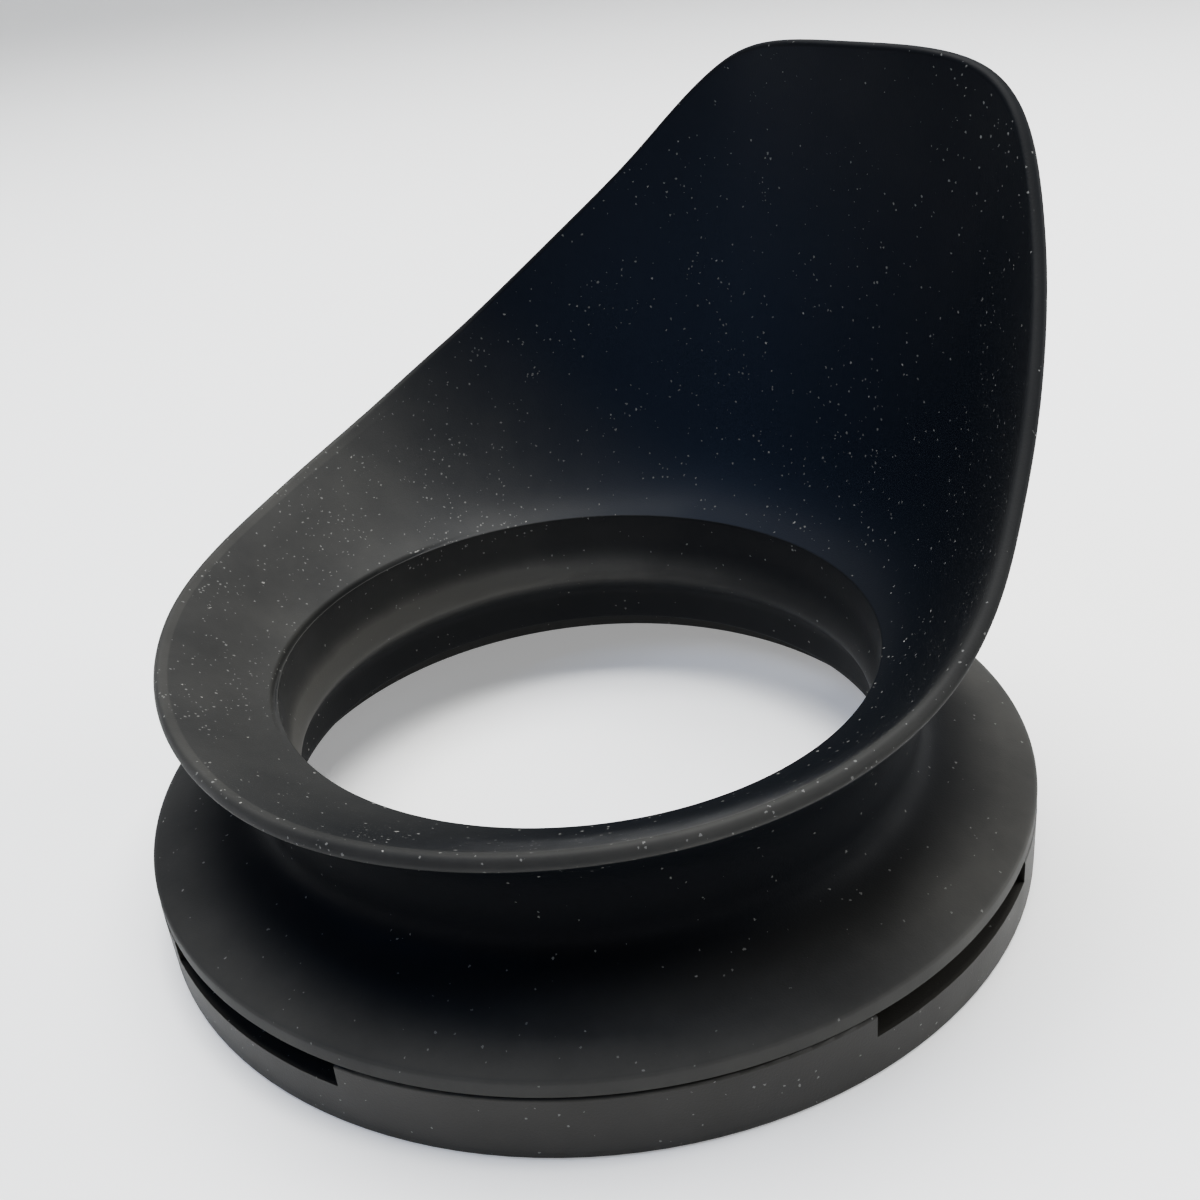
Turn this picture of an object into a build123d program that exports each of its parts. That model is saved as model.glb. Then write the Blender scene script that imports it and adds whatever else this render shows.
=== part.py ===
"""Winged rubber viewfinder eyecup that turns on a clip-on mounting ring.

Frame: millimetres, +Z up along the bore axis, origin on that axis at the underside of the
mounting ring, +Y towards the tall wing that shades the side of the face.
"""

import os

from build123d import *

# ---------------------------------------------------------------- driving dimensions
RING_RADIUS = 34.0  # outside of the mounting ring
SKIRT_BORE_RADIUS = 32.6  # the viewfinder's flange enters here
SKIRT_HEIGHT = 5.1
SEAT_HEIGHT = 3.1  # of the shoulder that the viewfinder's flange stops against
SEAT_RADIUS = 32.2
WEB_THICKNESS = 0.7
WINDOW_COUNT = 4
WINDOW_ANGLE = 9.5  # the first window's direction, from +X
WINDOW_WIDTH = 18.2  # chord of 31 degrees at the ring's outside
WINDOW_SILL = 3.3

WASHER_THICKNESS = 0.25
WASHER_RECESS = 0.2  # how deep the washer sits in the web
WASHER_OUTER_RADIUS = 31.6

SEAM_GAP = 0.1  # fine joint between the ring's top and the turning rubber flange
PLATE_THICKNESS = 0.85
PLATE_RADIUS = 31.0
COLLAR_INNER_RADIUS = 25.9
COLLAR_OUTER_RADIUS = 27.1
COLLAR_BOTTOM = 3.2
RUNNING_CLEARANCE = 0.06

CLIP_THICKNESS = 0.5
CLIP_OUTER_RADIUS = 28.4
CLIP_GROOVE_DEPTH = 0.5
CLIP_GAP = 6.0
CLIP_SIDE_PLAY = 0.03

BORE_EDGE_RADIUS = 22.73  # sharp upper edge of the neck's bore
BORE_EDGE_HEIGHT = 16.24
BORE_BEAD_RADIUS = 22.2  # tightest place of the bore
BORE_BEAD_HEIGHT = 10.3
BORE_RELIEF_RADIUS = 23.6  # undercut below the bead
NECK_RADIUS = 25.5
FLANGE_RADIUS = 33.95
FLANGE_FACE_TOP = 6.05  # of the upright face round the flange's edge
FLANGE_ROOT_RADIUS = 27.8
FLANGE_ROOT_HEIGHT = 7.8
FLANGE_CROWN_HEIGHT = 7.15  # of the dome at 30.5 mm radius
FLANGE_EDGE_RADIUS = 33.3
FLANGE_EDGE_HEIGHT = 6.45
WING_TOP = 54.9

# worked out from the above
WEB_BOTTOM = SKIRT_HEIGHT - WEB_THICKNESS
WASHER_BOTTOM = SKIRT_HEIGHT - WASHER_RECESS
FLANGE_BOTTOM = SKIRT_HEIGHT + SEAM_GAP
WEB_HOLE_RADIUS = COLLAR_OUTER_RADIUS + RUNNING_CLEARANCE
GROOVE_TOP = WEB_BOTTOM - CLIP_SIDE_PLAY
GROOVE_BOTTOM = GROOVE_TOP - CLIP_THICKNESS - 2 * CLIP_SIDE_PLAY
GROOVE_RADIUS = COLLAR_OUTER_RADIUS - CLIP_GROOVE_DEPTH
CUT_MARGIN = 12.0  # how far the trimming tools reach past the rubber

os.makedirs("parts", exist_ok=True)


# ---------------------------------------------------------------- mounting ring
# A shallow moulded pan without a floor: a skirt that grips the viewfinder's flange, a web on
# top that carries the cup, and four windows in the skirt for the viewfinder's catches.
with BuildPart() as mounting_ring:
    with BuildSketch(Plane.XY):
        Circle(RING_RADIUS)
        Circle(SKIRT_BORE_RADIUS, mode=Mode.SUBTRACT)
    extrude(amount=SKIRT_HEIGHT)
    with BuildSketch(Plane.XY.offset(SEAT_HEIGHT)):
        Circle(RING_RADIUS)
        Circle(SEAT_RADIUS, mode=Mode.SUBTRACT)
    extrude(amount=SKIRT_HEIGHT - SEAT_HEIGHT)
    with BuildSketch(Plane.XY.offset(WEB_BOTTOM)):
        Circle(RING_RADIUS)
        Circle(WEB_HOLE_RADIUS, mode=Mode.SUBTRACT)
    extrude(amount=WEB_THICKNESS)
    outside_edges = mounting_ring.edges().filter_by(
        lambda e: e.geom_type == GeomType.CIRCLE and abs(e.radius - RING_RADIUS) < 0.01
    )
    fillet(outside_edges, 0.25)
    window_height = SKIRT_HEIGHT - WINDOW_SILL
    skirt_middle = (RING_RADIUS + SKIRT_BORE_RADIUS) / 2
    with BuildSketch(Plane.XY.offset(WINDOW_SILL)):
        with PolarLocations(skirt_middle, WINDOW_COUNT, start_angle=WINDOW_ANGLE):
            Rectangle(4.0, WINDOW_WIDTH)
        Circle(SEAT_RADIUS, mode=Mode.SUBTRACT)
    extrude(amount=window_height, mode=Mode.SUBTRACT)
    with BuildSketch(Plane.XY.offset(WASHER_BOTTOM)):
        Circle(WASHER_OUTER_RADIUS + 0.1)
    extrude(amount=WASHER_RECESS, mode=Mode.SUBTRACT)
mounting_ring.part.label = "mounting_ring"
export_step(mounting_ring.part, "parts/mounting_ring.step")


# ---------------------------------------------------------------- slip washer
# A thin low-friction ring between the web and the turning carrier.
with BuildPart() as slip_washer:
    with BuildSketch(Plane.XY.offset(WASHER_BOTTOM)):
        Circle(WASHER_OUTER_RADIUS)
        Circle(WEB_HOLE_RADIUS + 0.4, mode=Mode.SUBTRACT)
    extrude(amount=WASHER_THICKNESS)
slip_washer.part.label = "slip_washer"
export_step(slip_washer.part, "parts/slip_washer.step")


# ---------------------------------------------------------------- carrier ring
# The rigid ring that the rubber is moulded onto. Its plate stiffens the flange, and its collar
# passes down through the web.
with BuildPart() as carrier_ring:
    with BuildSketch(Plane.XY.offset(FLANGE_BOTTOM)):
        Circle(PLATE_RADIUS)
        Circle(COLLAR_INNER_RADIUS, mode=Mode.SUBTRACT)
    extrude(amount=PLATE_THICKNESS)
    with BuildSketch(Plane.XY.offset(COLLAR_BOTTOM)):
        Circle(COLLAR_OUTER_RADIUS)
        Circle(COLLAR_INNER_RADIUS, mode=Mode.SUBTRACT)
    extrude(amount=FLANGE_BOTTOM - COLLAR_BOTTOM)
    with BuildSketch(Plane.XY.offset(GROOVE_BOTTOM)):
        Circle(COLLAR_OUTER_RADIUS + 1.0)
        Circle(GROOVE_RADIUS, mode=Mode.SUBTRACT)
    extrude(amount=GROOVE_TOP - GROOVE_BOTTOM, mode=Mode.SUBTRACT)
carrier_ring.part.label = "carrier_ring"
export_step(carrier_ring.part, "parts/carrier_ring.step")


# ---------------------------------------------------------------- retaining clip
# A flat open spring ring in the collar's groove, under the web, which holds the cup on.
with BuildPart() as retaining_clip:
    with BuildSketch(Plane.XY.offset(GROOVE_BOTTOM + CLIP_SIDE_PLAY)):
        Circle(CLIP_OUTER_RADIUS)
        Circle(GROOVE_RADIUS, mode=Mode.SUBTRACT)
        with Locations((0, -CLIP_OUTER_RADIUS)):
            Rectangle(CLIP_GAP, 8.0, mode=Mode.SUBTRACT)
    extrude(amount=CLIP_THICKNESS)
    fillet(retaining_clip.edges().filter_by(Axis.Z), 0.5)
retaining_clip.part.label = "retaining_clip"
export_step(retaining_clip.part, "parts/retaining_clip.step")


# ---------------------------------------------------------------- rubber eyecup
# Level sections of the cup, which are ellipses on the plane of symmetry: height, centre along Y,
# half length along Y, half width along X.
OUTER_SECTIONS = (
    (7.0, 0.0, NECK_RADIUS, NECK_RADIUS),
    (10.0, 0.0, NECK_RADIUS, NECK_RADIUS),
    (13.0, 0.0, NECK_RADIUS, NECK_RADIUS),
    (16.0, -0.5, 27.2, 27.7),
    (19.0, -1.4, 29.5, 31.2),
    (22.0, -1.0, 30.2, 33.2),
    (26.0, -0.3, 30.6, 34.2),
    (30.0, 0.0, 30.9, 33.9),
    (35.0, 0.0, 31.1, 33.3),
    (40.0, 0.0, 31.2, 33.9),
    (45.0, 0.0, 31.2, 37.0),
    (50.0, 0.0, 31.0, 42.0),
    (56.0, 0.0, 30.7, 47.0),
)
INNER_SECTIONS = (
    (BORE_EDGE_HEIGHT, 0.0, BORE_EDGE_RADIUS, BORE_EDGE_RADIUS),
    (17.5, -0.8, 26.2, 26.8),
    (19.2, -1.6, 28.2, 30.2),
    (22.0, -1.0, 29.1, 32.1),
    (26.0, -0.3, 29.5, 33.1),
    (30.0, 0.0, 29.8, 32.8),
    (35.0, 0.0, 30.0, 32.2),
    (40.0, 0.0, 30.1, 32.8),
    (45.0, 0.0, 30.1, 35.9),
    (50.0, 0.0, 29.9, 40.9),
    (57.0, 0.0, 29.5, 46.5),
)
# The rim seen from the side, as (Y, Z), up to where the wing stands up,
RIM_SIDE = ((-30.8, 18.6), (-22.9, 20.0), (-10.8, 21.5), (2.3, 25.9), (9.0, 31.5))
# and the wing's edge seen from the front, as (X, Z), up to where its corner rounds over.
WING_EDGE = ((35.0, 24.0), (33.2, 29.0), (28.3, 36.1), (21.6, 45.4), (17.7, 50.2))
WING_CORNER_END = (9.5, WING_TOP)


with BuildPart() as eyecup:
    for height, centre_y, half_length, half_width in OUTER_SECTIONS:
        with BuildSketch(Plane.XY.offset(height)):
            with Locations((0, centre_y)):
                Ellipse(half_width, half_length)
    loft()
    # the domed flange, turned about the bore's axis
    with BuildSketch(Plane.XZ):
        with BuildLine():
            Polyline(
                (BORE_RELIEF_RADIUS, FLANGE_BOTTOM),
                (FLANGE_RADIUS, FLANGE_BOTTOM),
                (FLANGE_RADIUS, FLANGE_FACE_TOP),
            )
            Spline(
                (FLANGE_RADIUS, FLANGE_FACE_TOP),
                (FLANGE_EDGE_RADIUS, FLANGE_EDGE_HEIGHT),
                (30.5, FLANGE_CROWN_HEIGHT),
                (FLANGE_ROOT_RADIUS, FLANGE_ROOT_HEIGHT),
            )
            Polyline(
                (FLANGE_ROOT_RADIUS, FLANGE_ROOT_HEIGHT),
                (26.2, FLANGE_ROOT_HEIGHT + 0.7),
                (NECK_RADIUS - 0.2, FLANGE_ROOT_HEIGHT + 2.4),
                (BORE_RELIEF_RADIUS, FLANGE_ROOT_HEIGHT + 2.4),
                (BORE_RELIEF_RADIUS, FLANGE_BOTTOM),
            )
        make_face()
    revolve(axis=Axis.Z)
    # the hollow of the cup
    for height, centre_y, half_length, half_width in INNER_SECTIONS:
        with BuildSketch(Plane.XY.offset(height)):
            with Locations((0, centre_y)):
                Ellipse(half_width, half_length)
    loft(mode=Mode.SUBTRACT)
    # the bore, with its inner bead and the relief below it
    with BuildSketch(Plane.XZ):
        with BuildLine():
            Polyline(
                (0, FLANGE_BOTTOM - 1),
                (BORE_RELIEF_RADIUS, FLANGE_BOTTOM - 1),
                (BORE_RELIEF_RADIUS, BORE_BEAD_HEIGHT - 1.0),
                (BORE_BEAD_RADIUS, BORE_BEAD_HEIGHT),
                (BORE_BEAD_RADIUS, BORE_BEAD_HEIGHT + 3.0),
                (BORE_EDGE_RADIUS, BORE_EDGE_HEIGHT),
                (0, BORE_EDGE_HEIGHT),
                (0, FLANGE_BOTTOM - 1),
            )
        make_face()
    revolve(axis=Axis.Z, mode=Mode.SUBTRACT)
    # trim to the rim seen from the side
    with BuildSketch(Plane.YZ):
        with BuildLine():
            Polyline(
                RIM_SIDE[-1],
                (16.0, WING_TOP + CUT_MARGIN),
                (-RING_RADIUS - CUT_MARGIN, WING_TOP + CUT_MARGIN),
                (-RING_RADIUS - CUT_MARGIN, RIM_SIDE[0][1]),
                RIM_SIDE[0],
            )
            Spline(*RIM_SIDE)
        make_face()
    extrude(amount=2 * RING_RADIUS, both=True, mode=Mode.SUBTRACT)
    # trim the wing's edges and rounded corners seen from the front
    for side in (1, -1):
        with BuildSketch(Plane.XZ):
            with BuildLine():
                Spline(*[(side * x, z) for x, z in WING_EDGE])
                ThreePointArc(
                    (side * WING_EDGE[-1][0], WING_EDGE[-1][1]),
                    (side * 14.4, 53.6),
                    (side * WING_CORNER_END[0], WING_CORNER_END[1]),
                )
                Polyline(
                    (side * WING_CORNER_END[0], WING_CORNER_END[1]),
                    (0, WING_TOP),
                    (0, WING_TOP + CUT_MARGIN),
                    (side * 80.0, WING_TOP + CUT_MARGIN),
                    (side * 80.0, WING_EDGE[0][1]),
                    (side * WING_EDGE[0][0], WING_EDGE[0][1]),
                )
            make_face()
        extrude(amount=2 * RING_RADIUS, both=True, mode=Mode.SUBTRACT)
    # the pocket that the carrier ring is moulded into
    add(carrier_ring.part, mode=Mode.SUBTRACT)
eyecup.part.label = "eyecup"
export_step(eyecup.part, "parts/eyecup.step")
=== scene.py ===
import math

import bpy
import numpy as np
from mathutils import Matrix


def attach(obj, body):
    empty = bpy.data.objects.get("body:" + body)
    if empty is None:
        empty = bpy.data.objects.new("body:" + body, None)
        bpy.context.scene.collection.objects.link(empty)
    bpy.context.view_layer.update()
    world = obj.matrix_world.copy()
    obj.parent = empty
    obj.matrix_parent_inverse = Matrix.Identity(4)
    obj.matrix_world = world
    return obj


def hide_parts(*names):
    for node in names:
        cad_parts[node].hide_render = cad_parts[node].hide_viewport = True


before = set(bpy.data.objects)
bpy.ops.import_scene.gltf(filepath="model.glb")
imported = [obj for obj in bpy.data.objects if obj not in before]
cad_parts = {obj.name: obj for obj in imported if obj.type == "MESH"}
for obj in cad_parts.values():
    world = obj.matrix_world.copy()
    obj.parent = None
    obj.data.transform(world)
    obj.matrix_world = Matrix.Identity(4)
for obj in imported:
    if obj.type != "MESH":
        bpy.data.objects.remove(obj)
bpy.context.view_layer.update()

MM = 0.001

# ---------------------------------------------------------------- camera
# A small camera held close, a little to the side of the wing's open face, looking down at the
# cup by 28 degrees and rolled by 6, with a lens of 42 mm on a 36 mm frame.
def placed(x_axis, y_axis, z_axis, origin):
    """The matrix of an object that stands at the origin given, its own axes along these ones."""
    matrix = np.eye(4)
    matrix[:3] = np.stack((x_axis, y_axis, z_axis, origin), axis=-1)
    return Matrix(matrix.tolist())


eye = np.array((77.32, -50.70, 69.04)) * MM
look = np.array((-0.7269, 0.4998, -0.4710))
right = np.array((0.6040, 0.7917, -0.0921))
down = np.array((0.3269, -0.3514, -0.8773))
camera_data = bpy.data.cameras.new("camera")
camera_data.lens = 42.0
camera_data.sensor_width = 36.0
camera_data.clip_start = 0.005
camera_data.clip_end = 10.0
camera = bpy.data.objects.new("camera", camera_data)
bpy.context.collection.objects.link(camera)
camera.matrix_world = placed(right, -down, -look, eye)
bpy.context.scene.camera = camera


# ---------------------------------------------------------------- table and light
# A faintly glowing white sweep that the cup stands on, with a large soft light overhead and a
# little beyond the cup, a small white one on the right and a faint blue one on the left.
def new_object(name, mesh):
    """Links a mesh into the scene as an object at the origin."""
    item = bpy.data.objects.new(name, mesh)
    bpy.context.collection.objects.link(item)
    return item


def grid_mesh(name, points, wrap_u, wrap_v):
    """Makes a mesh from a grid of points, rows along u and columns along v, with one quad between
    each four neighbours, closed round either way where asked."""
    rows, columns = points.shape[:2]
    index = np.arange(rows * columns).reshape(rows, columns)
    if wrap_u:
        index = np.vstack((index, index[:1]))
    if wrap_v:
        index = np.hstack((index, index[:, :1]))
    quads = np.stack((index[:-1, :-1], index[1:, :-1], index[1:, 1:], index[:-1, 1:]), axis=-1)
    mesh = bpy.data.meshes.new(name)
    mesh.from_pydata(points.reshape(-1, 3).tolist(), [], quads.reshape(-1, 4).tolist())
    mesh.polygons.foreach_set("use_smooth", np.ones(len(mesh.polygons), dtype=bool))
    mesh.update()
    return mesh


def new_material(name):
    """Makes a material with nodes, and returns it and its Principled shader."""
    material = bpy.data.materials.new(name)
    material.use_nodes = True
    return material, material.node_tree.nodes["Principled BSDF"]


def sweep(half_width=1.6, reach=0.9, bend=0.45, height=1.6):
    """A floor that runs back level, turns up through a quarter circle and rises as a wall: the
    profile is carried straight across the width, in the camera's own heading."""
    heading = math.atan2(look[1], look[0])
    turn = np.linspace(0, math.pi / 2, 24)
    along = np.concatenate(([-1.6, 0.0, reach], reach + bend * np.sin(turn[1:]), [reach + bend]))
    rise = np.concatenate(([0, 0, 0], bend * (1 - np.cos(turn[1:])), [height]))
    across = np.linspace(-half_width, half_width, 3)
    a, s = np.meshgrid(along, across, indexing="ij")
    x = a * math.cos(heading) - s * math.sin(heading)
    y = a * math.sin(heading) + s * math.cos(heading)
    z = np.repeat(rise[:, None], len(across), axis=1)
    return np.stack((x, y, z), axis=-1)


floor = new_object("table", grid_mesh("table", sweep(), False, False))
paper, shader = new_material("white_table")
shader.inputs["Base Color"].default_value = (0.90, 0.90, 0.90, 1)
shader.inputs["Roughness"].default_value = 0.6
shader.inputs["Emission Color"].default_value = (1, 1, 1, 1)
shader.inputs["Emission Strength"].default_value = 0.35
floor.data.materials.append(paper)


def soft_light(name, azimuth, elevation, distance, size, watts, colour):
    """An area light on a sphere about the cup, turned to face it. Azimuth is measured in the
    camera's plan: 0 behind the camera, 90 on its right, 180 beyond the cup."""
    data = bpy.data.lights.new(name, "AREA")
    data.shape = "RECTANGLE"
    data.size, data.size_y = size
    data.energy = watts
    data.color = colour
    lamp = bpy.data.objects.new(name, data)
    bpy.context.collection.objects.link(lamp)
    heading = math.atan2(-look[1], -look[0]) + math.radians(azimuth)
    rise = math.radians(elevation)
    level = math.cos(rise)
    way = np.array((math.cos(heading) * level, math.sin(heading) * level, math.sin(rise)))
    centre = np.array((0.0, 0.0, 0.02))
    side = np.cross((0.0, 0.0, 1.0), way)
    side = side / np.linalg.norm(side)
    lamp.matrix_world = placed(side, np.cross(way, side), way, centre + way * distance)


soft_light("overhead", 175, 77, 0.60, (0.46, 0.40), 12.0, (1.0, 1.0, 0.98))
soft_light("left", 292, 48, 0.60, (0.30, 0.25), 0.9, (0.34, 0.52, 1.0))
soft_light("right", 98, 24, 0.55, (0.30, 0.25), 3.3, (1.0, 1.0, 1.0))
world = bpy.data.worlds.new("room")
world.use_nodes = True
world.node_tree.nodes["Background"].inputs["Color"].default_value = (0.72, 0.84, 1.0, 1)
world.node_tree.nodes["Background"].inputs["Strength"].default_value = 0.12
bpy.context.scene.world = world


# ---------------------------------------------------------------- rubber eyecup
# One moulding in black rubber: a domed flange, a neck with a bead inside its bore, and a thin
# flared lip that climbs on one side into the tall wing. It is moulded onto the carrier ring.
BORE_EDGE = (22.70, 16.24)
NECK_TOP = (25.5, 11.4)
NECK_FOOT = (25.5, 10.6)
FLANGE_RADIUS = 33.95
LIP_THICKNESS = 1.05
EXTRA_AT_FOOT = 0.75  # how much thicker the wall is at its foot than at the lip
INNER_POINTS = 90  # of an outline, from the bore's edge to the lip
LIP_POINTS = 15  # of an outline, over the lip
HIP_POINT = 44  # the inner point that the outside wall stops short of, coming down
RIM_BAND = 28  # how many inner points the band of dust and painted highlight under the rim is wide
# The colour of the painted blue reflection of the light on the inside of the wing.
PAINTED_BLUE_REFLECTION = (0.0068, 0.0105, 0.0190)
GROOVE_MIDDLE = 238.0  # degrees round from the wing, where the groove by the bore is deepest
# The rim, by the angle round from the wing: angle, radius, height, and how steeply the wall
# meets it, where 90 is upright. Radius and height are a fit's results, rounded, and were eased
# up to 32 degrees.
RIM = np.array((
    (0, 30.3, 54.9, 91), (9, 30.65, 54.9, 90.5), (16, 31.6, 54.65, 89), (21, 32.7, 54.1, 87.5),
    (25, 33.4, 53.2, 86), (28, 33.7, 51.9, 85), (32, 33.65, 50.0, 83.5), (40, 33.2, 45.4, 81.5),
    (53, 32.7, 39.3, 79.5), (68, 33.0, 32.7, 76), (77, 33.85, 29.1, 68), (86, 34.2, 25.8, 56),
    (97, 33.75, 23.2, 43), (109, 32.9, 21.5, 34), (122, 32.2, 20.6, 30), (136, 31.7, 20.0, 27),
    (150, 31.2, 19.4, 25), (163, 30.8, 18.85, 22), (180, 30.5, 18.5, 21),
))


def smooth_through(x, xs, ys):
    """A cubic curve through the given points: the slope at each is that of its two neighbours, and
    nought at both ends."""
    slope = np.zeros(len(xs))
    slope[1:-1] = (ys[2:] - ys[:-2]) / (xs[2:] - xs[:-2])
    i = np.clip(np.searchsorted(xs, x, side="right") - 1, 0, len(xs) - 2)
    span = xs[i + 1] - xs[i]
    t = (x - xs[i]) / span
    return (
        (1 + 2 * t) * (1 - t) ** 2 * ys[i]
        + t * (1 - t) ** 2 * span * slope[i]
        + t * t * (3 - 2 * t) * ys[i + 1]
        + t * t * (t - 1) * span * slope[i + 1]
    )


def eased(values, spread=3.2, near=12):
    """Values round a circle, each averaged with so many neighbours on either side, under a bell
    of so many degrees."""
    away = np.arange(-near, near + 1) * 360.0 / len(values)
    bell = np.exp(-away * away / 2 / spread ** 2)
    wrapped = np.concatenate((values[-near:], values, values[:near]))
    return np.convolve(wrapped, bell / bell.sum(), mode="valid")


def bezier(p0, p1, p2, p3, t):
    """Points of a cubic Bezier curve; each corner may be one point or one for every angle."""
    t = t[:, None]
    corners = [np.asarray(p, dtype=float)[..., None, :] for p in (p0, p1, p2, p3)]
    weights = ((1 - t) ** 3, 3 * t * (1 - t) ** 2, 3 * t * t * (1 - t), t ** 3)
    return sum(w * c for w, c in zip(weights, corners))


def rim_all_round(angle):
    """For each angle round the bore: the rim's point, the way up the wall there, and the way from
    the wall's outer face to its inner one."""
    from_wing = np.degrees(np.abs((angle + math.pi) % (2 * math.pi) - math.pi))
    radius, height, lean = (
        eased(smooth_through(from_wing, RIM[:, 0], RIM[:, k])) for k in (1, 2, 3)
    )
    lean = np.radians(lean)
    rim = np.stack((radius, height), axis=-1)
    up_wall = np.stack((np.cos(lean), np.sin(lean)), axis=-1)
    inward = np.stack((-np.sin(lean), np.cos(lean)), axis=-1)
    return rim, up_wall, inward


def inside_wall(lip_in, up_wall):
    """The inside of the cup: at each angle a Bezier curve that leaves the bore's edge 17 degrees
    above level and comes up to the lip along the wall, the straighter the taller it is."""
    edge = np.array(BORE_EDGE)
    reach = np.linalg.norm(lip_in - edge, axis=-1)[:, None]
    tall = (reach - 7.5) / 31.0  # nought at the low lip, one at the wing
    start = np.radians(17.0)
    start_way = np.array((math.cos(start), math.sin(start)))
    start_pull = 2.0 + 0.1 * reach
    end_pull = reach * (0.33 + 0.45 * tall)
    return bezier(
        edge + 0 * lip_in, edge + start_way * start_pull, lip_in - up_wall * end_pull, lip_in,
        np.linspace(0, 1, INNER_POINTS) ** 1.15,
    )


def outside_wall(inner):
    """The inside pushed out square to itself by the wall's thickness, from the lip down to the
    hip. The thickness grows by a smooth step from the lip to a quarter of the way up."""
    way = np.gradient(inner, axis=1)
    way = way / np.linalg.norm(way, axis=-1, keepdims=True)
    outward = np.stack((way[..., 1], -way[..., 0]), axis=-1)
    along = np.linspace(0, 1, INNER_POINTS)
    thin = np.clip((along - 0.25) / 0.75, 0, 1)
    wall = LIP_THICKNESS + EXTRA_AT_FOOT * (1 - thin * thin * (3 - 2 * thin))
    return (inner + outward * wall[None, :, None])[:, :HIP_POINT:-1]


def blunt_lip(lip_in, lip_out, inward, up_wall):
    """A half turn over the lip from its inner face to its outer one, blunter than a half circle:
    cosine across and sine upwards, each to the power 0.85."""
    half_turn = np.linspace(0, math.pi, LIP_POINTS + 2)[1:-1][None, :, None]
    middle = ((lip_in + lip_out) / 2)[:, None]
    across = np.sign(np.cos(half_turn)) * np.abs(np.cos(half_turn)) ** 0.85
    beyond = 0.9 * np.sin(half_turn) ** 0.85
    return middle + LIP_THICKNESS / 2 * (inward[:, None] * across + up_wall[:, None] * beyond)


def groove_depth(inner, angle):
    """How far the inside sinks in the groove: a narrow bell across it, a quarter of a millimetre
    from the bore's edge, and a flat-topped bell along it, about its deepest angle."""
    beside = np.linalg.norm(inner - np.array(BORE_EDGE), axis=-1)
    sector = np.exp(-(((np.degrees(angle) - GROOVE_MIDDLE) / 34.0) ** 4))
    return 0.5 * sector[:, None] * np.exp(-(((beside - 0.27) / 0.17) ** 2))


def shoulder_below(outer):
    """The bend from the hip, where the outside wall ends, to the top of the neck: a Bezier curve
    that carries on along the wall and arrives upright."""
    hip = outer[:, -1]
    hip_way = outer[:, -2] - hip
    hip_way = hip_way / np.linalg.norm(hip_way, axis=-1, keepdims=True)
    neck_top = np.array(NECK_TOP)
    hip_reach = np.linalg.norm(hip - neck_top, axis=-1)[:, None]
    return bezier(
        hip, hip - hip_way * 0.42 * hip_reach, neck_top + np.array((0, 0.42)) * hip_reach,
        neck_top + 0 * hip, np.linspace(0, 1, 24)[1:],
    )


def neck_flange_and_bore():
    """The outline that is the same all round, as Bezier curves end to end: down the neck, over
    the domed flange, round its upright edge, back underneath, and up the bore past its bead."""
    few, some, many = (np.linspace(0, 1, steps + 1)[1:] for steps in (4, 8, 14))
    out = FLANGE_RADIUS
    return np.concatenate((
        bezier(NECK_TOP, (25.5, 11.1), (25.5, 10.9), NECK_FOOT, few),
        bezier(NECK_FOOT, (25.5, 9.0), (26.4, 8.2), (28.3, 7.83), many),
        bezier((28.3, 7.83), (30.4, 7.45), (32.2, 6.97), (33.35, 6.6), many),
        bezier((33.35, 6.6), (33.7, 6.48), (out, 6.4), (out, 6.15), some),
        bezier((out, 6.15), (out, 5.8), (out, 5.5), (out, 5.26), few),
        bezier((out, 5.26), (out, 5.22), (33.94, 5.2), (33.9, 5.2), few),
        bezier((33.9, 5.2), (30.2, 5.2), (27.0, 5.2), (24.0, 5.2), few),
        bezier((24.0, 5.2), (23.7, 5.2), (23.6, 5.3), (23.6, 5.6), few),
        bezier((23.6, 5.6), (23.6, 6.3), (23.6, 7.0), (23.6, 7.7), few),
        bezier((23.6, 7.7), (23.6, 9.0), (22.02, 9.3), (22.0, 10.7), many),
        bezier((22.0, 10.7), (22.0, 11.8), (22.5, 12.6), (22.6, 13.8), some),
        bezier((22.6, 13.8), (22.63, 14.5), (22.64, 15.3), (22.64, 16.05), few),
        bezier((22.64, 16.05), (22.64, 16.15), (22.66, 16.2), BORE_EDGE, few[:-1]),
    ))


def eyecup_surface(around=440):
    """The eyecup as a grid: for each angle round the bore, one closed outline in radius and
    height. It goes up the inside of the cup, over the lip, down the outside and the shoulder to
    the neck, and on by the outline that is the same at every angle. A shallow groove runs beside
    part of the bore's edge."""
    angle = np.linspace(0, 2 * math.pi, around, endpoint=False)
    rim, up_wall, inward = rim_all_round(angle)
    lip_out = rim - up_wall * LIP_THICKNESS * 0.45
    lip_in = lip_out + inward * LIP_THICKNESS
    inner = inside_wall(lip_in, up_wall)
    outer = outside_wall(inner)
    lip = blunt_lip(lip_in, lip_out, inward, up_wall)
    inner[..., 1] -= groove_depth(inner, angle)
    fixed = neck_flange_and_bore()
    fixed = np.broadcast_to(fixed, (around,) + fixed.shape)
    outline = np.concatenate((inner, lip, outer, shoulder_below(outer), fixed), axis=1)
    r, z = outline[..., 0] * MM, outline[..., 1] * MM
    return np.stack((r * np.sin(angle)[:, None], r * np.cos(angle)[:, None], z), axis=-1)


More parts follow.
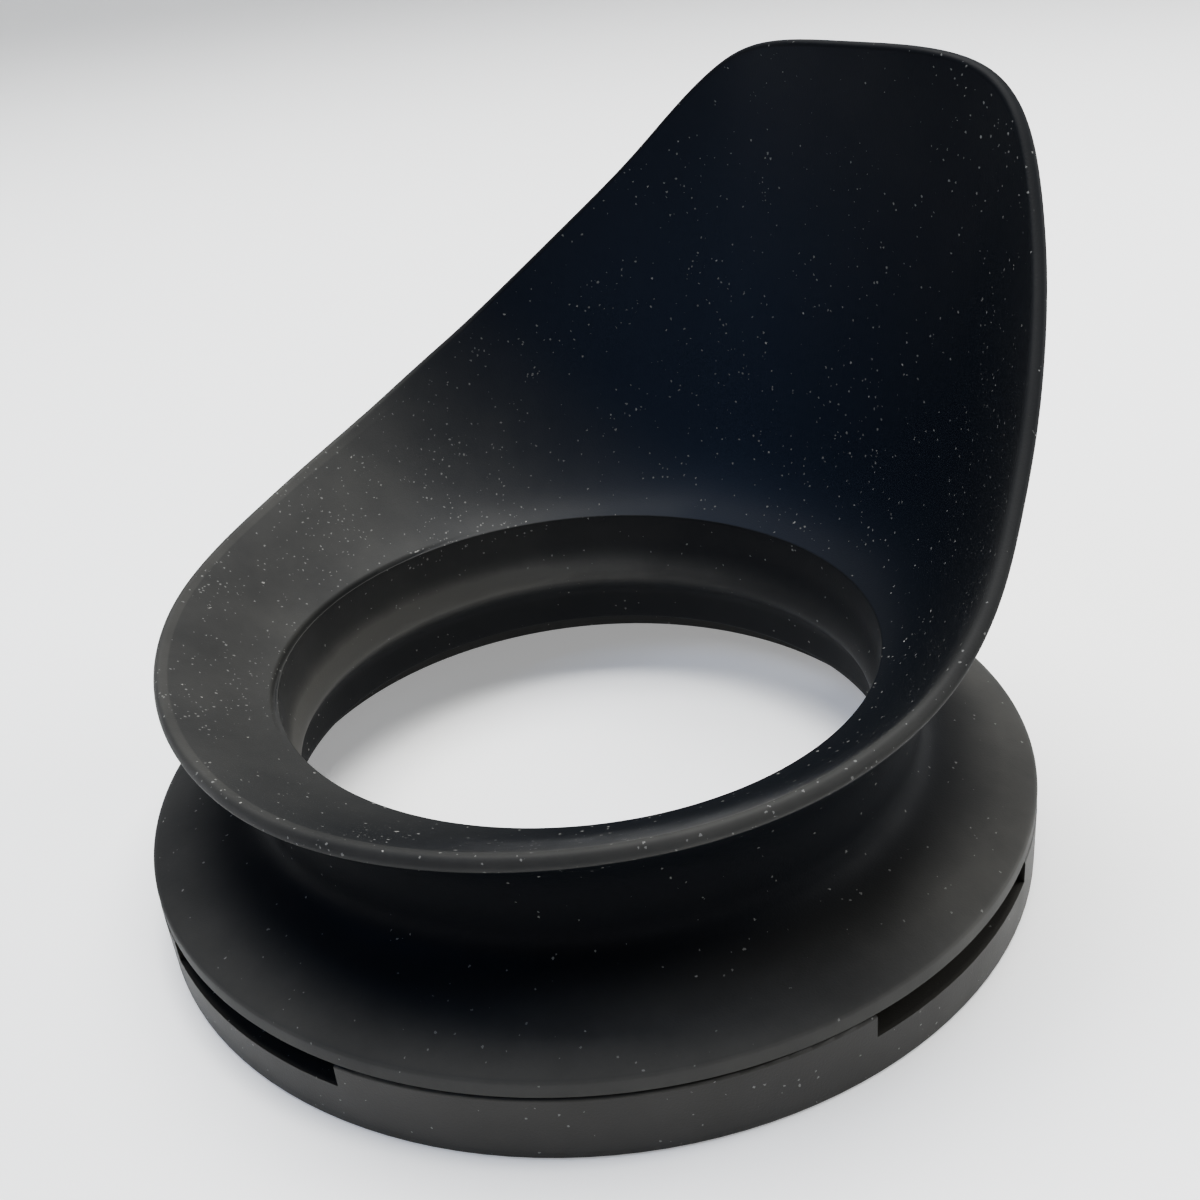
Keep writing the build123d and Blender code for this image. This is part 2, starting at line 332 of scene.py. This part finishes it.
def dust_and_painted_light_of(points):
    """How pale each point is, partly dust and partly painted light: a smooth step along a sloping
    direction, thick on the low flare away from the wing and thin up the wing, dust together with a
    painted sheen of the light; a band inside the rim on the right, painted highlight with some dust;
    more along the lip's edge, dust and painted highlight; a painted highlight on the bore's bead; and
    less in the bore and the groove, painted shade. The wall's outside and the neck are left dark,
    which paints the shade under the lip onto the neck, and the flange grows paler outwards, dust with
    painted shade from the lip near the neck."""
    x, y, z = (points / MM).transpose(2, 0, 1)
    radius = np.hypot(x, y)
    column = np.arange(points.shape[1])[None, :]
    # Dust on the low flare, together with a painted sheen of the light from that side.
    slope = np.clip((-0.80 * x - 0.62 * y - 1.1 * (z - 20.0) + 6.0) / 36.0, 0, 1)
    step = slope * slope * (3 - 2 * slope)
    # A painted highlight with some dust in a band inside the rim on the right.
    right = np.exp(-(((np.degrees(np.arctan2(x, y)) - 105.0) / 36.0) ** 2))
    to_rim = np.clip((column - (INNER_POINTS - RIM_BAND)) / RIM_BAND, 0, 1)
    # Dust and a painted highlight along the lip's edge.
    edge = 0.20 * (column > INNER_POINTS - 5) * np.clip((27.0 - z) / 4.0, 0, 1)
    dust_and_painted_light = 0.60 * step * (1 + 0.014 * (y + 12.0)) + 0.45 * right * to_rim * to_rim + edge
    # The wall's outside and the neck left dark: painted shade under the lip.
    outside = column >= INNER_POINTS + LIP_POINTS - 1
    dust_and_painted_light = np.where(outside & (z > 9.0) & (radius > 23.7), 0.0, dust_and_painted_light)
    # A painted highlight on the bore's bead; the rest of the bore and the groove darker as painted
    # shade.
    bead = np.exp(-(((z - 11.2) / 1.3) ** 2)) * (0.16 + 1.35 * step)
    dust_and_painted_light = np.where((radius < 23.7) & (z < 16.2), 0.08 + 0.3 * step * (z > 10.0) + bead, dust_and_painted_light)
    # The flange paler outwards: dust, with painted shade from the lip near the neck.
    flange = np.clip((radius - 26.5) / 5.0, 0, 1) * (0.50 + 0.0085 * x + 0.0010 * y)
    flange = flange + 0.12 * (radius > 33.8)
    return np.where((z < 9.0) & (radius > 23.7), flange, dust_and_painted_light)


def dust_of(points):
    """How thick the specks lie: with the paler dust and painted light in the cup, thinly up the wing,
    and least below.
    """
    return np.where(points[..., 2] / MM < 15.0, 0.12, np.maximum(dust_and_painted_light_of(points), 0.30))


def painted_blue_reflection_of(points):
    """How much painted blue reflection of the light each point carries: only inside the cup, most at
    the middle of the wing's foot, fading with distance from there."""
    x, y, z = (points / MM).transpose(2, 0, 1)
    away = (x + 15.0) ** 2 + (y - 26.0) ** 2 + (z - 27.0) ** 2
    inside = np.arange(points.shape[1])[None, :] < INNER_POINTS
    return np.exp(-away / 2 / 16.0 ** 2) * inside


cup_points = eyecup_surface()
cup_mesh = grid_mesh("rubber_eyecup", cup_points, True, True)
# Stored on the points: paler dust with painted light, dust specks, and painted blue reflection.
for name, rule in (("dust_and_painted_light", dust_and_painted_light_of), ("dust", dust_of), ("blue", painted_blue_reflection_of)):
    values = rule(cup_points).ravel()
    cup_mesh.attributes.new(name, "FLOAT", "POINT").data.foreach_set("value", values)
eyecup = new_object("rubber_eyecup", cup_mesh)


def node(tree, kind, settings=None, **values):
    """Adds a shader node, sets its properties and the given sockets."""
    made = tree.nodes.new(kind)
    for key, value in (settings or {}).items():
        setattr(made, key, value)
    for key, value in values.items():
        made.inputs[key.replace("_", " ")].default_value = value
    return made


def ramp(tree, source, stops):
    """Maps a 0 to 1 value through a colour ramp given as (place, grey or colour) stops."""
    made = tree.nodes.new("ShaderNodeValToRGB")
    tree.links.new(source, made.inputs["Fac"])
    while len(made.color_ramp.elements) < len(stops):
        made.color_ramp.elements.new(0.5)
    for element, (place, colour) in zip(made.color_ramp.elements, stops):
        element.position = place
        element.color = (*colour, 1) if isinstance(colour, tuple) else (colour, colour, colour, 1)
    return made.outputs["Color"]


def mixed(tree, share, first, second):
    """Blends two colours, each a socket or a colour, by a share between 0 and 1."""
    made = node(tree, "ShaderNodeMix", {"data_type": "RGBA"})
    tree.links.new(share, made.inputs["Factor"])
    for key, value in (("A", first), ("B", second)):
        socket = [s for s in made.inputs if s.name == key and s.type == "RGBA"][0]
        if isinstance(value, tuple):
            socket.default_value = (*value, 1)
        else:
            tree.links.new(value, socket)
    return [s for s in made.outputs if s.type == "RGBA"][0]


def times(tree, first, second):
    """Multiplies a socket by another socket or a number."""
    made = node(tree, "ShaderNodeMath", {"operation": "MULTIPLY"})
    tree.links.new(first, made.inputs[0])
    if isinstance(second, float):
        made.inputs[1].default_value = second
    else:
        tree.links.new(second, made.inputs[1])
    return made.outputs[0]


def below(tree, value, limit):
    """One where the first socket is less than the second, else nought."""
    made = node(tree, "ShaderNodeMath", {"operation": "LESS_THAN"})
    tree.links.new(value, made.inputs[0])
    tree.links.new(limit, made.inputs[1])
    return made.outputs[0]


def dust_specks(tree, place, per_metre, radius, share):
    """Dust: each cell of a Voronoi pattern holds one round speck at its centre, of up to the given
    radius, and only a share of the cells, picked by the cell's own random colour, shows it. The
    share is a socket, so that dust can lie thicker in one place than another."""
    cells = node(tree, "ShaderNodeTexVoronoi", Scale=per_metre)
    tree.links.new(place, cells.inputs["Vector"])
    pick = node(tree, "ShaderNodeSeparateColor")
    tree.links.new(cells.outputs["Color"], pick.inputs["Color"])
    size = times(tree, pick.outputs["Green"], radius * per_metre)
    near = below(tree, cells.outputs["Distance"], size)
    return times(tree, below(tree, pick.outputs["Red"], share), near)


def attribute(tree, name):
    """A value stored on the mesh's points."""
    return node(tree, "ShaderNodeAttribute", {"attribute_name": name}).outputs["Fac"]


def dusted(tree, place, colour, lying, dust):
    """Lays dust and lint on a colour, in four sizes: fine specks, larger ones, short lint drawn
    out along one direction, and a few coarse crumbs. A fine noise stirs them out of round."""
    stir = node(tree, "ShaderNodeTexNoise", Scale=5200.0, Detail=2.0)
    tree.links.new(place, stir.inputs["Vector"])
    stirred = node(tree, "ShaderNodeVectorMath", {"operation": "MULTIPLY_ADD"})
    tree.links.new(stir.outputs["Color"], stirred.inputs[0])
    stirred.inputs[1].default_value = (0.00025, 0.00025, 0.00025)
    tree.links.new(place, stirred.inputs[2])
    drawn = node(tree, "ShaderNodeMapping")
    tree.links.new(stirred.outputs["Vector"], drawn.inputs["Vector"])
    drawn.inputs["Rotation"].default_value = (0.4, 0.7, 0.9)
    drawn.inputs["Scale"].default_value = (1.0, 0.22, 1.0)
    for vector, per_metre, radius, part, tint in (
        (stirred, 3200.0, 0.000095, 0.55, (0.105, 0.105, 0.10)),
        (stirred, 1300.0, 0.00011, 0.22, (0.17, 0.167, 0.155)),
        (drawn, 1000.0, 0.00009, 0.26, (0.21, 0.205, 0.19)),
        (stirred, 280.0, 0.00020, 0.12, (0.25, 0.23, 0.18)),
    ):
        amount = times(tree, lying, part * dust)
        specks = dust_specks(tree, vector.outputs["Vector"], per_metre, radius, amount)
        colour = mixed(tree, specks, colour, tint)
    return colour


def worn_surface(tree, shader, place, roughness, grain):
    """A roughness that varies with handling between two values, and a fine grain."""
    handled = node(tree, "ShaderNodeTexNoise", Scale=260.0, Detail=3.0)
    tree.links.new(place, handled.inputs["Vector"])
    worn = node(tree, "ShaderNodeMapRange", To_Min=roughness[0], To_Max=roughness[1])
    tree.links.new(handled.outputs["Fac"], worn.inputs["Value"])
    tree.links.new(worn.outputs["Result"], shader.inputs["Roughness"])
    fine = node(tree, "ShaderNodeTexNoise", Scale=7000.0, Detail=2.0)
    tree.links.new(place, fine.inputs["Vector"])
    bump = node(tree, "ShaderNodeBump", Strength=grain, Distance=0.00003)
    tree.links.new(fine.outputs["Fac"], bump.inputs["Height"])
    tree.links.new(bump.outputs["Normal"], shader.inputs["Normal"])


def black_moulding(name, dark, pale, roughness, grain, dust, level=None):
    """Black moulded rubber or plastic: a dark clean colour and a paler dusty one, clouded together,
    and dust that lies in drifts. With a level, the name of a value stored on the mesh, that value
    says where the paler colour goes, as dust and painted light, and two more where the dust lies and
    where the painted blue reflection is."""
    material, shader = new_material(name)
    tree = material.node_tree
    place = node(tree, "ShaderNodeTexCoord").outputs["Object"]
    clouds = node(tree, "ShaderNodeTexNoise", Scale=110.0, Detail=6.0, Roughness=0.62)
    tree.links.new(place, clouds.inputs["Vector"])
    share = ramp(tree, clouds.outputs["Fac"], ((0.30, 0.6), (0.72, 1.0)))
    spread = node(
        tree, "ShaderNodeMapRange", Value=1.0, From_Min=0.05, From_Max=0.5, To_Min=0.3, To_Max=1.0
    )
    if level:
        # With a level, the paler colour follows the stored dust and painted light.
        share = times(tree, attribute(tree, level), share)
        tree.links.new(attribute(tree, "dust"), spread.inputs["Value"])
        # The painted blue reflection, mixed into the clean colour.
        dark = mixed(tree, attribute(tree, "blue"), dark, PAINTED_BLUE_REFLECTION)
    patchy = node(tree, "ShaderNodeTexNoise", Scale=170.0, Detail=3.0)
    tree.links.new(place, patchy.inputs["Vector"])
    drift = ramp(tree, patchy.outputs["Fac"], ((0.38, 0.15), (0.62, 1.0)))
    thick = times(tree, spread.outputs["Result"], spread.outputs["Result"])
    lying = times(tree, thick, drift)
    colour = dusted(tree, place, mixed(tree, share, dark, pale), lying, dust)
    tree.links.new(colour, shader.inputs["Base Color"])
    worn_surface(tree, shader, place, roughness, grain)
    return material, shader


# The rubber's paler colour lies where the stored dust and painted light say.
rubber, shader = black_moulding(
    "black_rubber", (0.0021, 0.0027, 0.0038), (0.052, 0.051, 0.047), (0.50, 0.64), 0.35, 1.0,
    "dust_and_painted_light",
)
shader.inputs["Specular IOR Level"].default_value = 0.05
eyecup.data.materials.append(rubber)
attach(eyecup, "cup")
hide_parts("eyecup")


# ---------------------------------------------------------------- mounting ring
# The rigid ring underneath, moulded in black plastic, with its four catch windows. It goes over
# the viewfinder's flange.
def dress(part, material):
    """Gives a CAD piece its material."""
    part.data.materials.clear()
    part.data.materials.append(material)


ring_plastic, shader = black_moulding(
    "ring_plastic", (0.0050, 0.0046, 0.0036), (0.0108, 0.0098, 0.0074), (0.52, 0.66), 0.5, 0.35
)
shader.inputs["Specular IOR Level"].default_value = 0.25
dress(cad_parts["mounting_ring"], ring_plastic)


# ---------------------------------------------------------------- carrier ring
# The rigid ring moulded into the flange, in satin black plastic. Its collar hangs down through
# the mounting ring's web and shows only from below.
carrier_plastic, shader = black_moulding(
    "carrier_plastic", (0.006, 0.006, 0.006), (0.012, 0.012, 0.011), (0.42, 0.55), 0.4, 0.1
)
shader.inputs["Specular IOR Level"].default_value = 0.1
dress(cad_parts["carrier_ring"], carrier_plastic)


# ---------------------------------------------------------------- slip washer
# A thin washer in natural low-friction plastic, loose between the ring's web and the carrier.
washer_plastic, shader = new_material("washer_plastic")
tree = washer_plastic.node_tree
place = node(tree, "ShaderNodeTexCoord").outputs["Object"]
mottle = node(tree, "ShaderNodeTexNoise", Scale=400.0, Detail=4.0)
tree.links.new(place, mottle.inputs["Vector"])
milky = ramp(tree, mottle.outputs["Fac"], ((0.3, (0.66, 0.66, 0.62)), (0.7, (0.78, 0.78, 0.75))))
tree.links.new(milky, shader.inputs["Base Color"])
shader.inputs["Roughness"].default_value = 0.38
dress(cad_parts["slip_washer"], washer_plastic)


# ---------------------------------------------------------------- retaining clip
# An open flat ring blanked from spring steel and phosphated dark, in the carrier collar's groove.
spring_steel, shader = new_material("spring_steel")
tree = spring_steel.node_tree
place = node(tree, "ShaderNodeTexCoord").outputs["Object"]
phosphate = node(tree, "ShaderNodeTexNoise", Scale=1500.0, Detail=4.0)
tree.links.new(place, phosphate.inputs["Vector"])
steel = ramp(tree, phosphate.outputs["Fac"], ((0.35, (0.10, 0.10, 0.105)), (0.7, (0.24, 0.24, 0.25))))
tree.links.new(steel, shader.inputs["Base Color"])
shader.inputs["Metallic"].default_value = 1.0
shader.inputs["Roughness"].default_value = 0.42
dress(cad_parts["retaining_clip"], spring_steel)
